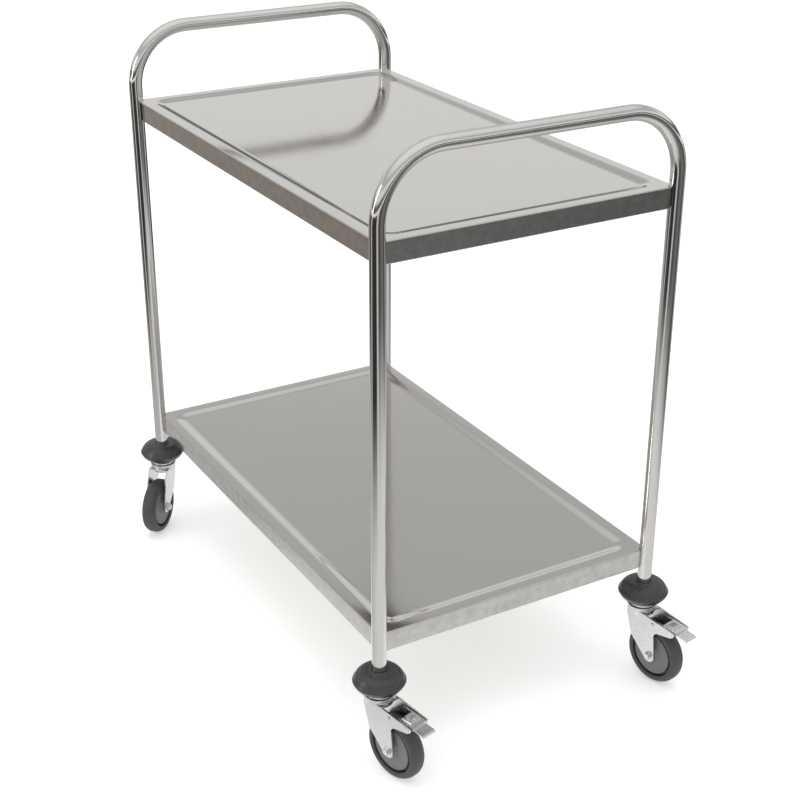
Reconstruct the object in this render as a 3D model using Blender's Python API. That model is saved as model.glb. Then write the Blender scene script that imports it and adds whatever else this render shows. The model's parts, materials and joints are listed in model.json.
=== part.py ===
"""Two-tier stainless steel instrument cart on four swivel castors, two of them with wheel brakes.

+X runs along the cart to the braked end, -Y to its left long side and +Z up; the floor is z = 0.
"""

import math

import bmesh
import bpy
from mathutils import Vector

# Plan and heights, in metres
LEG_PITCH_X = 0.830
LEG_PITCH_Y = 0.480
LOWER_TOP = 0.224
UPPER_TOP = 0.812
HANDLE_RISE = 0.116

# Bent tube frames
TUBE_R = 0.011
TUBE_WALL = 0.0012
TUBE_SIDES = 16
BEND_R = 0.095
BEND_STEPS = 6

# Pressed shelves
SHEET = 0.0012
SKIRT = 0.032
EDGE_RADIUS = 0.0015
RIM_WIDTH = 0.021
RECESS_SLOPE = 0.006
RECESS_DEPTH = 0.004
RECESS_CORNER_R = 0.012
RETURN_FLANGE = 0.012
NOTCH_GAP = 0.0004
CORNER_STEPS = 4
STIFFENER_LENGTH = 0.720
STIFFENER_DEPTH = 0.014
STIFFENER_HALF_WEB = 0.025
STIFFENER_FLANGE = 0.020

# Corner bolts of the shelves
BOLT_R = 0.0029
BOLT_HEAD_R = 0.0050
BOLT_HEAD_HEIGHT = 0.0040
BOLT_IN_TUBE = 0.0050
BOLT_SIDES = 8
BOLT_HOLE_R = 0.0034
BOLT_HOLE_SIDES = 10
BOLT_HOLE_REACH = (0.0050, 0.0145)  # from the leg's centre
BOLT_BELOW_TOP = 0.018

# Castors: heights are above the floor, and the wheel trails along the castor's own +X
TUBE_END = 0.1463
WHEEL_R = 0.050
TRAIL = 0.036
PIN_SIDES = 12

# Bumper: the dome is (radius, depth below the top)
BUMPER_UNDER = 0.1340
BUMPER_TOP = 0.1665
BUMPER_NECK_R = 0.0255
BUMPER_SOCKET_R = 0.0115
BUMPER_HOLE_R = 0.0068
BUMPER_DOME = [
    (0.0140, 0),
    (0.0270, 0.0050),
    (0.0370, 0.0125),
    (0.0395, 0.0180),
    (0.0365, 0.0230),
    (0.0270, 0.0285),
]
BUMPER_SIDES = 20

# Plug in the tube, stem through it and swivel cap on the stem
PLUG_R = 0.0095
PLUG_BORE_R = 0.0064
PLUG_LOW = 0.1475
PLUG_HIGH = 0.1865
STEM_R = 0.0060
STEM_CLEARANCE = 0.0005
STEM_FOOT_R = 0.0090
STEM_FOOT_LOW = 0.1105
STEM_FOOT_HIGH = 0.1155
STEM_HEAD_R = 0.0085
STEM_HEAD_LOW = 0.1870
STEM_HEAD_HIGH = 0.1905
CAP_UNDER = 0.1225
CAP_R = 0.0235
CAP_RIM = 0.0035
CAP_NECK_R = 0.0140
CAP_NECK_RISE = 0.0075
CAP_SIDES = 16

# Fork: side views as (x, z)
CHEEK_INNER = 0.0160
CHEEK_OUTER = 0.0185
CROWN_TOP = 0.1190
CROWN_UNDER = 0.1165
FORK_FRONT = [(-0.0170, CROWN_TOP), (-0.0170, 0.1080), (-0.0120, 0.0900), (-0.0060, 0.0760)]
FORK_ARM = [(0.0425, 0.0860), (0.0450, 0.0940), (0.0510, 0.0985), (0.0760, 0.1030)]
FORK_ARM_END = [(0.0820, 0.1075), (0.0810, 0.1125)]
FORK_PLAIN_REAR = [(0.0385, 0.0860), (0.0310, 0.1080)]
FORK_TOP_REAR = (0.0240, CROWN_TOP)
FORK_EYE_R = 0.0110
FORK_EYE_STEPS = 5
FRONT_WALL_INNER = -0.0145
ARCH_R = 0.0140
ARCH_Z = 0.0970
ARCH_STEPS = 8
ARM_OPENING_X = 0.0270
RACE_R = 0.0210
RACE_TOP = 0.1215
RACE_UNDER = 0.1110
RACE_SIDES = 16
CUT_LOW = 0.0200
CUT_HIGH = 0.1400
CUT_REACH = 0.1000

# Axle, nut and sleeve
AXLE_R = 0.0040
AXLE_LENGTH = 0.0265  # past the wheel's middle
AXLE_HEAD_R = 0.0068
AXLE_HEAD_HEIGHT = 0.0050
AXLE_HOLE_R = 0.0043
NUT_R = 0.0075
NUT_BORE_R = 0.0049
NUT_END = 0.0250
SLEEVE_R = 0.0060
SLEEVE_HALF = 0.0155

# Wheel and tyre: one face's (radius, distance from the middle plane), hub to rim
WHEEL_PROFILE = [
    (0.0065, 0.0148),
    (0.0120, 0.0148),
    (0.0140, 0.0112),
    (0.0340, 0.0100),
    (0.0340, 0.0070),
    (0.0382, 0.0070),
]
TYRE_PROFILE = [(0.0385, 0.0125), (0.0450, 0.0130), (0.0486, 0.0090), (WHEEL_R, 0.0030)]
WHEEL_SIDES = 20

# Brake: side views as (x, z)
PEDAL_PIN = (0.039, 0.110)
PEDAL_PIN_R = 0.0020
PEDAL_PIN_HALF = 0.0200
PEDAL_HALF = 0.0140
PEDAL_EYE_R = 0.0040
PEDAL_TOP = [(0.0520, 0.1150), (0.0800, 0.1128), (0.0850, 0.1112)]
PEDAL_TONGUE = [(0.1030, 0.1078), (0.1035, 0.1050), (0.0850, 0.1085), (0.0450, 0.1085)]
WINDOW_X = (0.0560, 0.0700)
WINDOW_HALF = 0.0070
SHOE_X = (0.0500, 0.0640)
SHOE_TOP = 0.1082
SHOE_HALF = 0.0110
SHOE_GAP = 0.0035

GAP = 0.0003  # between two pieces that touch

# Each castor: which end, which side, the angle its wheel trails at, and whether it has a brake
CASTORS = {
    "near_left": (1, -1, 14.0, True),
    "near_right": (1, 1, 10.0, True),
    "far_left": (-1, -1, -45.0, False),
    "far_right": (-1, 1, -20.0, False),
}

# Colour, metallic value and roughness of each finish
FINISHES = {
    "polished_stainless_tube": ("#D2D3D3", 1.0, 0.12),
    "satin_stainless_sheet": ("#B9B9B7", 1.0, 0.30),
    "zinc_plated_steel": ("#D9DADB", 1.0, 0.18),
    "grey_bumper_rubber": ("#4B4E52", 0.0, 0.45),
    "grey_tyre_rubber": ("#56575A", 0.0, 0.60),
    "grey_wheel_plastic": ("#7B7B7D", 0.0, 0.50),
    "black_nylon": ("#1E1E20", 0.0, 0.50),
}


def clear_scene():
    for obj in list(bpy.data.objects):
        bpy.data.objects.remove(obj, do_unlink=True)


def linear(hex_colour):
    """A hex sRGB colour as linear RGBA."""
    parts = [int(hex_colour[i : i + 2], 16) / 255 for i in (1, 3, 5)]
    curved = [p / 12.92 if p <= 0.04045 else ((p + 0.055) / 1.055) ** 2.4 for p in parts]
    return (*curved, 1.0)


def finish(name):
    """The material of one finish, made on its first use."""
    if name in bpy.data.materials:
        return bpy.data.materials[name]
    colour, metallic, roughness = FINISHES[name]
    material = bpy.data.materials.new(name)
    material.use_nodes = True
    shader = material.node_tree.nodes["Principled BSDF"]
    shader.inputs["Base Color"].default_value = linear(colour)
    shader.inputs["Metallic"].default_value = metallic
    shader.inputs["Roughness"].default_value = roughness
    return material


def place(name, bm, finish_name, parent, location=(0, 0, 0), turn=(0, 0, 0)):
    """Makes the object of a sub-part from its mesh."""
    bmesh.ops.recalc_face_normals(bm, faces=bm.faces)
    mesh = bpy.data.meshes.new(name)
    bm.to_mesh(mesh)
    bm.free()
    mesh.shade_smooth()
    mesh.set_sharp_from_angle(angle=math.radians(35))
    mesh.materials.append(finish(finish_name))
    obj = bpy.data.objects.new(name, mesh)
    bpy.context.scene.collection.objects.link(obj)
    obj.parent = parent
    obj.location = location
    obj.rotation_euler = turn
    return obj


def empty(name, parent=None, location=(0, 0, 0), turn_z=0.0):
    obj = bpy.data.objects.new(name, None)
    bpy.context.scene.collection.objects.link(obj)
    obj.parent = parent
    obj.location = location
    obj.rotation_euler = (0, 0, turn_z)
    return obj


def helper(name, bm, parent, location=(0, 0, 0), turn=(0, 0, 0)):
    """A hidden shape that only a Boolean reads."""
    obj = place(name, bm, "black_nylon", parent, location, turn)
    obj.hide_render = True
    obj.display_type = "WIRE"
    return obj


def combine(obj, other, operation):
    modifier = obj.modifiers.new(f"{operation.lower()} {other.name}", "BOOLEAN")
    modifier.operation = operation
    modifier.solver = "EXACT"
    modifier.object = other


def arc(centre, radius, start, end, steps):
    """Points on an arc, angles in degrees."""
    angles = [math.radians(start + (end - start) * i / steps) for i in range(steps + 1)]
    return [(centre[0] + radius * math.cos(a), centre[1] + radius * math.sin(a)) for a in angles]


def turned(profile, sides):
    """A solid turned about Z from (radius, height) points, with a hole where none is on the axis."""
    bm = bmesh.new()
    points = [bm.verts.new((r, 0, z)) for r, z in profile]
    is_ring = all(r > 0 for r, _ in profile)
    following = points[1:] + points[:1] if is_ring else points[1:]
    edges = [bm.edges.new(pair) for pair in zip(points, following)]
    bmesh.ops.spin(
        bm,
        geom=points + edges,
        cent=(0, 0, 0),
        axis=(0, 0, 1),
        angle=2 * math.pi,
        steps=sides,
        use_merge=True,
    )
    bmesh.ops.remove_doubles(bm, verts=bm.verts, dist=1e-6)
    return bm


def prism(outline, low, high, along="Y"):
    """An outline extruded from low to high: (x, z) points along Y, or (y, z) points along X."""
    bm = bmesh.new()
    if along == "Y":
        points = [bm.verts.new((a, low, b)) for a, b in outline]
        step = (0, high - low, 0)
    else:
        points = [bm.verts.new((low, a, b)) for a, b in outline]
        step = (high - low, 0, 0)
    face = bm.faces.new(points)
    made = bmesh.ops.extrude_face_region(bm, geom=[face], use_keep_orig=True)
    moved = [item for item in made["geom"] if isinstance(item, bmesh.types.BMVert)]
    bmesh.ops.translate(bm, verts=moved, vec=step)
    return bm


def rod(radius, low, high, sides=PIN_SIDES):
    """A plain cylinder along Z."""
    return turned([(0, low), (radius, low), (radius, high), (0, high)], sides)


def bridge(bm, rings):
    """Joins a row of closed rings that have the same number of points."""
    for first, second in zip(rings, rings[1:]):
        for i in range(len(first)):
            j = (i + 1) % len(first)
            bm.faces.new((first[i], first[j], second[j], second[i]))


def frame_path():
    """The centre line of a frame in its own Y-Z plane, as (y, z, tilt) with the tilt of each section."""
    half, bar = LEG_PITCH_Y / 2, UPPER_TOP + HANDLE_RISE
    path = [(-half, TUBE_END, 0.0)]
    for i in range(BEND_STEPS + 1):
        tilt = math.pi / 2 * i / BEND_STEPS
        y = -half + BEND_R * (1 - math.cos(tilt))
        path.append((y, bar - BEND_R + BEND_R * math.sin(tilt), tilt))
    return path + [(-y, z, math.pi - tilt) for y, z, tilt in reversed(path)]


def tube_frame(name, end, parent):
    """One end's frame: two legs and the handle bar, bent from a single tube and open at both feet."""
    bm = bmesh.new()
    skins = []
    for radius in (TUBE_R, TUBE_R - TUBE_WALL):
        rings = []
        for y, z, tilt in frame_path():
            across = Vector((0, math.cos(tilt), -math.sin(tilt)))
            ring = []
            for i in range(TUBE_SIDES):
                a = 2 * math.pi * i / TUBE_SIDES
                offset = Vector((math.cos(a), 0, 0)) + across * math.sin(a)
                ring.append(bm.verts.new(Vector((0, y, z)) + offset * radius))
            rings.append(ring)
        bridge(bm, rings)
        skins.append(rings)
    for foot in (0, -1):
        bridge(bm, [skins[0][foot], skins[1][foot]])
    return place(name, bm, "polished_stainless_tube", parent, (end * LEG_PITCH_X / 2, 0, 0))


def shelf_corner(inset, convex_r):
    """One corner of the shelf's outline, seen from the leg's centre with the shelf in the +X +Y quarter."""
    if convex_r:
        centre = (inset + convex_r, inset + convex_r)
        return arc(centre, convex_r, 270, 180, CORNER_STEPS)
    radius = TUBE_R + NOTCH_GAP + inset
    start = math.degrees(math.asin(inset / radius))
    return arc((0, 0), radius, start, 90 - start, CORNER_STEPS)


def shelf_ring(bm, inset, height, convex_r=0.0):
    """The shelf's outline, moved in by inset, at a height."""
    corner = shelf_corner(inset, convex_r)
    half_x, half_y = LEG_PITCH_X / 2, LEG_PITCH_Y / 2
    ring = []
    for sx, sy in ((-1, -1), (-1, 1), (1, 1), (1, -1)):
        points = corner if sx * sy > 0 else corner[::-1]
        ring += [bm.verts.new((sx * (half_x - a), sy * (half_y - b), height)) for a, b in points]
    return ring


def shelf(name, top, parent):
    """A pressed sheet shelf: recessed top, raised rim, folded skirt with a return, notched at the legs."""
    bm = bmesh.new()
    recess = RIM_WIDTH + RECESS_SLOPE
    skin = [
        (recess, top - RECESS_DEPTH, RECESS_CORNER_R),
        (RIM_WIDTH, top, RECESS_CORNER_R + RECESS_SLOPE),
        (EDGE_RADIUS, top, 0),
        (0, top - EDGE_RADIUS, 0),
        (0, top - SKIRT, 0),
        (RETURN_FLANGE, top - SKIRT, 0),
        (RETURN_FLANGE, top - SKIRT + SHEET, 0),
        (SHEET, top - SKIRT + SHEET, 0),
        (SHEET, top - EDGE_RADIUS, 0),
        (EDGE_RADIUS, top - SHEET, 0),
        (RIM_WIDTH, top - SHEET, RECESS_CORNER_R + RECESS_SLOPE),
        (recess, top - RECESS_DEPTH - SHEET, RECESS_CORNER_R),
    ]
    rings = [shelf_ring(bm, inset, height, convex) for inset, height, convex in skin]
    bridge(bm, rings)
    bm.faces.new(rings[0])
    bm.faces.new(rings[-1])
    return place(name, bm, "satin_stainless_sheet", parent)


def stiffener(name, top, parent):
    """A top-hat channel along the underside of a shelf."""
    under = top - RECESS_DEPTH - SHEET - GAP
    web, edge = STIFFENER_HALF_WEB, STIFFENER_HALF_WEB + STIFFENER_FLANGE
    upper = [(-edge, 0), (-web, 0), (-web, -STIFFENER_DEPTH)]
    lower = [(-web - SHEET, -STIFFENER_DEPTH - SHEET), (-web - SHEET, -SHEET), (-edge, -SHEET)]
    outline = upper + [(-y, z) for y, z in upper[::-1] + lower[::-1]] + lower
    outline = [(y, under + z) for y, z in outline]
    bm = prism(outline, -STIFFENER_LENGTH / 2, STIFFENER_LENGTH / 2, along="X")
    return place(name, bm, "satin_stainless_sheet", parent)


def bore():
    """The cutter of one bolt hole, through a shelf's corner and the wall of the tube behind it."""
    return rod(BOLT_HOLE_R, *BOLT_HOLE_REACH, BOLT_HOLE_SIDES)


def corner_bolts(level, shelf_object, frames, top, parent):
    """The four bolts that hold a shelf to the legs, and their holes."""
    for corner, (sx, sy, _, _) in CASTORS.items():
        leg = (sx * LEG_PITCH_X / 2, sy * LEG_PITCH_Y / 2, top - BOLT_BELOW_TOP)
        # Local +Z points from the leg into the shelf's corner
        turn = (math.radians(90), 0, math.atan2(-sy, -sx) + math.radians(90))
        hole = helper(f"{level}_{corner}_hole", bore(), parent, leg, turn)
        combine(shelf_object, hole, "DIFFERENCE")
        combine(frames[sx], hole, "DIFFERENCE")
        seat = TUBE_R + NOTCH_GAP + SHEET + GAP
        profile = [
            (0, TUBE_R - BOLT_IN_TUBE),
            (BOLT_R, TUBE_R - BOLT_IN_TUBE),
            (BOLT_R, seat),
            (BOLT_HEAD_R, seat),
            (BOLT_HEAD_R, seat + BOLT_HEAD_HEIGHT),
            (0, seat + BOLT_HEAD_HEIGHT),
        ]
        name = f"{level}_shelf_bolt_{corner}"
        place(name, turned(profile, BOLT_SIDES), "zinc_plated_steel", parent, leg, turn)


def bumper(name, parent, leg):
    """The round buffer between a leg and its castor, with a socket for the tube's foot."""
    profile = [
        (BUMPER_HOLE_R, BUMPER_UNDER),
        (BUMPER_HOLE_R, TUBE_END - GAP),
        (BUMPER_SOCKET_R, TUBE_END - GAP),
        (BUMPER_SOCKET_R, BUMPER_TOP),
        *((radius, BUMPER_TOP - depth) for radius, depth in BUMPER_DOME),
        (BUMPER_NECK_R, BUMPER_UNDER),
    ]
    place(name, turned(profile, BUMPER_SIDES), "grey_bumper_rubber", parent, leg)


def castor_mounting(corner, parent, leg):
    """The fixed pieces of a castor: the expanding plug in the tube, the stem and the swivel cap."""
    plug = [(PLUG_BORE_R, PLUG_LOW), (PLUG_R, PLUG_LOW), (PLUG_R, PLUG_HIGH), (PLUG_BORE_R, PLUG_HIGH)]
    place(f"{corner}_tube_plug", turned(plug, PIN_SIDES), "black_nylon", parent, leg)
    stem = [
        (0, STEM_FOOT_LOW),
        (STEM_FOOT_R, STEM_FOOT_LOW),
        (STEM_FOOT_R, STEM_FOOT_HIGH),
        (STEM_R, STEM_FOOT_HIGH),
        (STEM_R, STEM_HEAD_LOW),
        (STEM_HEAD_R, STEM_HEAD_LOW),
        (STEM_HEAD_R, STEM_HEAD_HIGH),
        (0, STEM_HEAD_HIGH),
    ]
    place(f"{corner}_castor_stem", turned(stem, PIN_SIDES), "zinc_plated_steel", parent, leg)
    cap = [
        (STEM_R + STEM_CLEARANCE, CAP_UNDER),
        (CAP_R, CAP_UNDER),
        (CAP_R, CAP_UNDER + CAP_RIM),
        (CAP_NECK_R, CAP_UNDER + CAP_NECK_RISE),
        (CAP_NECK_R, BUMPER_UNDER - GAP),
        (STEM_R + STEM_CLEARANCE, BUMPER_UNDER - GAP),
    ]
    place(f"{corner}_swivel_cap", turned(cap, CAP_SIDES), "zinc_plated_steel", parent, leg)


def fork_outline(has_brake):
    """The fork's side view as (x, z) points, with an arm over the wheel where it carries a brake."""
    eye = arc((TRAIL, WHEEL_R), FORK_EYE_R, 215, 350, FORK_EYE_STEPS)
    rear = FORK_ARM + FORK_ARM_END if has_brake else FORK_PLAIN_REAR
    return [*FORK_FRONT, *eye, *rear, FORK_TOP_REAR]


def block(x_low, x_high, z_low, z_high, half_y):
    """A rectangular cutter, centred across the castor."""
    corners = [(x_low, z_low), (x_high, z_low), (x_high, z_high), (x_low, z_high)]
    return prism(corners, -half_y, half_y)


def race_with_bore():
    """The cutter of the stem's hole through the crown, and of the pocket for the stem's foot."""
    pocket_r, hole_r = STEM_FOOT_R + STEM_CLEARANCE, STEM_R + STEM_CLEARANCE
    pocket_top = STEM_FOOT_HIGH + STEM_CLEARANCE
    profile = [(0, CUT_LOW), (pocket_r, CUT_LOW), (pocket_r, pocket_top)]
    profile += [(hole_r, pocket_top), (hole_r, CUT_HIGH), (0, CUT_HIGH)]
    return turned(profile, PIN_SIDES)


def fork(corner, has_brake, swivel):
    """The pressed steel fork that swivels: a crown with its ball race, two cheeks and the brake's arms."""
    outline = fork_outline(has_brake)
    body = place(
        f"{corner}_fork", prism(outline, -CHEEK_OUTER, CHEEK_OUTER), "zinc_plated_steel", swivel
    )
    inside = block(FRONT_WALL_INNER, CUT_REACH, CUT_LOW, CROWN_UNDER, CHEEK_INNER)
    combine(body, helper(f"{corner}_inside", inside, swivel), "DIFFERENCE")
    arch = [(-ARCH_R, CUT_LOW), (ARCH_R, CUT_LOW), *arc((0, ARCH_Z), ARCH_R, 0, 180, ARCH_STEPS)]
    front = prism(arch, -CUT_REACH, 0, along="X")
    combine(body, helper(f"{corner}_front_arch", front, swivel), "DIFFERENCE")
    race = rod(RACE_R, RACE_UNDER, RACE_TOP, RACE_SIDES)
    combine(body, helper(f"{corner}_race", race, swivel), "UNION")
    combine(body, helper(f"{corner}_bore", race_with_bore(), swivel), "DIFFERENCE")
    axle_hole = rod(AXLE_HOLE_R, -CUT_REACH, CUT_REACH)
    across = (math.radians(90), 0, 0)
    hole = helper(f"{corner}_axle_hole", axle_hole, swivel, (TRAIL, 0, WHEEL_R), across)
    combine(body, hole, "DIFFERENCE")
    if has_brake:
        opening = block(ARM_OPENING_X, CUT_REACH, CUT_LOW, CUT_HIGH, CHEEK_INNER)
        combine(body, helper(f"{corner}_opening", opening, swivel), "DIFFERENCE")
        pin_hole = rod(PEDAL_PIN_R + STEM_CLEARANCE, -CUT_REACH, CUT_REACH)
        seat = (PEDAL_PIN[0], 0, PEDAL_PIN[1])
        hole = helper(f"{corner}_pin_hole", pin_hole, swivel, seat, across)
        combine(body, hole, "DIFFERENCE")


def axle(corner, swivel):
    """The wheel's axle: a bolt through both cheeks, its nut, and the sleeve that the wheel turns on."""
    seat = (TRAIL, 0, WHEEL_R)
    head = CHEEK_OUTER + GAP
    # Local +Z is the castor's -Y, where the bolt's head is
    across = (math.radians(90), 0, 0)
    bolt = [
        (0, -AXLE_LENGTH),
        (AXLE_R, -AXLE_LENGTH),
        (AXLE_R, head),
        (AXLE_HEAD_R, head),
        (AXLE_HEAD_R, head + AXLE_HEAD_HEIGHT),
        (0, head + AXLE_HEAD_HEIGHT),
    ]
    place(f"{corner}_axle_bolt", turned(bolt, PIN_SIDES), "zinc_plated_steel", swivel, seat, across)
    nut = [(NUT_BORE_R, -NUT_END), (NUT_R, -NUT_END), (NUT_R, -head), (NUT_BORE_R, -head)]
    place(f"{corner}_axle_nut", turned(nut, 6), "zinc_plated_steel", swivel, seat, across)
    sleeve = [
        (AXLE_HOLE_R, -SLEEVE_HALF),
        (SLEEVE_R, -SLEEVE_HALF),
        (SLEEVE_R, SLEEVE_HALF),
        (AXLE_HOLE_R, SLEEVE_HALF),
    ]
    place(f"{corner}_axle_sleeve", turned(sleeve, PIN_SIDES), "zinc_plated_steel", swivel, seat, across)


def both_sides(half_profile):
    """A closed wheel profile from the points on one face, inside to outside."""
    return [(r, -w) for r, w in half_profile] + [(r, w) for r, w in reversed(half_profile)]


def wheel(corner, hub):
    """The plastic wheel centre, and the rubber tyre on its rim."""
    across = (math.radians(90), 0, 0)
    centre = turned(both_sides(WHEEL_PROFILE), WHEEL_SIDES)
    place(f"{corner}_wheel", centre, "grey_wheel_plastic", hub, (0, 0, 0), across)
    tyre = turned(both_sides(TYRE_PROFILE), WHEEL_SIDES)
    place(f"{corner}_tyre", tyre, "grey_tyre_rubber", hub, (0, 0, 0), across)


def shoe_outline():
    """The brake shoe's side view: a face that follows the tyre, and a flat top under the pedal."""
    reach = WHEEL_R + SHOE_GAP
    start, end = (math.degrees(math.acos((x - TRAIL) / reach)) for x in SHOE_X)
    face = arc((TRAIL, WHEEL_R), reach, start, end, 4)
    return [*face, (SHOE_X[1], SHOE_TOP), (SHOE_X[0], SHOE_TOP)]


def brake(corner, pivot):
    """The brake's foot pedal with its pin, and the shoe under it that presses on the tyre."""
    px, pz = PEDAL_PIN
    eye = arc(PEDAL_PIN, PEDAL_EYE_R, 300, 90, 5)
    outline = [(x - px, z - pz) for x, z in PEDAL_TOP + PEDAL_TONGUE + eye]
    pedal = place(
        f"{corner}_brake_pedal", prism(outline, -PEDAL_HALF, PEDAL_HALF), "zinc_plated_steel", pivot
    )
    across = (math.radians(90), 0, 0)
    pin_shape = rod(PEDAL_PIN_R, -PEDAL_PIN_HALF, PEDAL_PIN_HALF, BOLT_HOLE_SIDES)
    pin = helper(f"{corner}_pin", pin_shape, pivot, (0, 0, 0), across)
    combine(pedal, pin, "UNION")
    window_shape = block(WINDOW_X[0] - px, WINDOW_X[1] - px, -PEDAL_PIN_HALF, PEDAL_PIN_HALF, WINDOW_HALF)
    window = helper(f"{corner}_window", window_shape, pivot)
    combine(pedal, window, "DIFFERENCE")
    shoe = [(x - px, z - pz) for x, z in shoe_outline()]
    place(f"{corner}_brake_shoe", prism(shoe, -SHOE_HALF, SHOE_HALF), "black_nylon", pivot)


def castor(corner, parent):
    """One whole castor below its leg, turned to where its wheel trails."""
    sx, sy, trail_angle, has_brake = CASTORS[corner]
    leg = (sx * LEG_PITCH_X / 2, sy * LEG_PITCH_Y / 2, 0)
    bumper(f"{corner}_bumper", parent, leg)
    castor_mounting(corner, parent, leg)
    swivel = empty(f"{corner}_swivel", parent, leg, math.radians(trail_angle))
    fork(corner, has_brake, swivel)
    axle(corner, swivel)
    wheel(corner, empty(f"{corner}_hub", swivel, (TRAIL, 0, WHEEL_R)))
    if has_brake:
        brake(corner, empty(f"{corner}_pedal_pivot", swivel, (PEDAL_PIN[0], 0, PEDAL_PIN[1])))


def centre_on_floor(cart):
    """Moves the cart so that the middle of its overall box is over the origin."""
    bpy.context.view_layer.update()
    shapes = [o for o in bpy.data.objects if o.type == "MESH" and not o.hide_render]
    points = [o.matrix_world @ v.co for o in shapes for v in o.data.vertices]
    low = Vector([min(p[i] for p in points) for i in range(3)])
    high = Vector([max(p[i] for p in points) for i in range(3)])
    middle = (low + high) / 2
    cart.location = (-middle.x, -middle.y, -low.z)
    bpy.context.view_layer.update()


def main():
    clear_scene()
    cart = empty("cart")
    frames = {
        1: tube_frame("near_handle_frame", 1, cart),
        -1: tube_frame("far_handle_frame", -1, cart),
    }
    for level, top in (("upper", UPPER_TOP), ("lower", LOWER_TOP)):
        tray = shelf(f"{level}_shelf", top, cart)
        stiffener(f"{level}_shelf_stiffener", top, cart)
        corner_bolts(level, tray, frames, top, cart)
    for corner in CASTORS:
        castor(corner, cart)
    centre_on_floor(cart)


main()
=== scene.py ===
"""The looks of a two-tier stainless steel instrument cart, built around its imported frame.

+X runs along the cart to its braked end, -Y to its left long side and +Z up. Sizes are in metres.
"""

import json
import math

import bmesh
import bpy
from bpy.props import FloatProperty, FloatVectorProperty, PointerProperty
from mathutils import Matrix, Vector


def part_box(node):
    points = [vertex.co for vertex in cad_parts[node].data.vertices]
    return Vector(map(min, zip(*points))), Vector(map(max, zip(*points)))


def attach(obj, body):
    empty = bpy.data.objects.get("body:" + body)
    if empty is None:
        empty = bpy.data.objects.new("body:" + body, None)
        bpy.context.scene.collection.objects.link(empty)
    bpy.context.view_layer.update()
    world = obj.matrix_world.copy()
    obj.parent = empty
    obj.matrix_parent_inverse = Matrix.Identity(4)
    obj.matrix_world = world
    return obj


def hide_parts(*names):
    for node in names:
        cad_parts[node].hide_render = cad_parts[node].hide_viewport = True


bl_info = {
    "name": "Instrument Cart",
    "version": (1, 0, 0),
    "blender": (4, 5, 0),
    "location": "3D View > Sidebar > Cart",
    "description": "Builds the pieces of a stainless steel instrument cart around its frame",
    "category": "Add Mesh",
}

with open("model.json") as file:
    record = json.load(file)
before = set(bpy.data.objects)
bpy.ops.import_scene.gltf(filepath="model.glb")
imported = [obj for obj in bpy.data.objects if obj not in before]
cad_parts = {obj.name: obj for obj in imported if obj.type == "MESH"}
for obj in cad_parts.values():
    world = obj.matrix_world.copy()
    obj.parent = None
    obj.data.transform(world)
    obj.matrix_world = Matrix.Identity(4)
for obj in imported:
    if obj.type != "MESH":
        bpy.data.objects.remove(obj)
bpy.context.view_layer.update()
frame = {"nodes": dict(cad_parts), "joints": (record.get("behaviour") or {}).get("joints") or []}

JOINTS = {joint["name"]: joint for joint in frame["joints"]}
CORNERS = [name.removesuffix("_swivel") for name in JOINTS if name.endswith("_swivel")]
BRAKED = [name.removesuffix("_brake_press") for name in JOINTS if name.endswith("_brake_press")]
LEVELS = ("upper", "lower")
ENDS = ("near", "far")

MM = 0.001
UP = Vector((0, 0, 1))
ACROSS = Matrix.Rotation(math.radians(90), 4, "X")  # turns a piece's +Z to a castor's -Y
SHARP = math.radians(35)
SLOPE_STEPS = 6  # the bands of a shelf's slope


# ---------------------------------------------------------------- sizes and colours


def length(name, description, default):
    """A size that a user may change, in metres."""
    return FloatProperty(
        name=name, description=description, default=default, min=0, precision=4, unit="LENGTH"
    )


def linear(hex_colour):
    """A hex sRGB colour as linear RGBA."""
    parts = [int(hex_colour[i : i + 2], 16) / 255 for i in (1, 3, 5)]
    curved = [p / 12.92 if p <= 0.04045 else ((p + 0.055) / 1.055) ** 2.4 for p in parts]
    return (*curved, 1.0)


def colour(name, description, hex_default):
    """A colour that a user may change."""
    return FloatVectorProperty(
        name=name,
        description=description,
        default=linear(hex_default),
        size=4,
        min=0,
        max=1,
        subtype="COLOR",
    )


class CartSizes(bpy.types.PropertyGroup):
    """The sizes that the frame doesn't give."""

    tube_wall: length("Tube wall", "Thickness of the bent tube", 0.0012)
    handle_bend: length("Handle bend", "Radius of the handle's bends, at the tube's centre", 0.095)
    sheet: length("Sheet", "Thickness of the shelves' sheet", 0.0012)
    fold: length("Fold", "Outer radius of the shelves' folds", 0.0016)
    rim: length("Rim", "Width of the flat rim round a shelf", 0.015)
    slope: length("Slope", "Width of the slope from the rim to the recess", 0.020)
    recess: length("Recess", "Depth of a shelf's recess", 0.0035)
    recess_corner: length("Recess corner", "Corner radius of the recess", 0.010)
    flange: length("Flange", "Width of the flange folded under the skirt", 0.012)
    notch_gap: length("Notch gap", "Gap between a shelf's corner and its leg", 0.0004)
    steel: length("Castor steel", "Thickness of the forks' and pedals' steel", 0.0025)
    edge: length("Pressed edge", "Rounding of pressed steel edges", 0.0004)


class CartColours(bpy.types.PropertyGroup):
    """The base colour of each finish."""

    tube: colour("Tube", "Polished stainless steel", "#D8D6D3")
    sheet: colour("Sheet", "Satin stainless steel", "#CDCBC7")
    zinc: colour("Zinc", "Bright zinc plating", "#E2E3E4")
    bumper: colour("Bumper", "Moulded bumper rubber", "#37393C")
    tyre: colour("Tyre", "Tyre rubber", "#424346")
    wheel: colour("Wheel", "Wheel centre plastic", "#6F6F72")
    nylon: colour("Nylon", "Black nylon", "#1C1C1E")
    floor: colour("Floor", "Studio floor", "#F4F4F3")


# ---------------------------------------------------------------- materials


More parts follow.
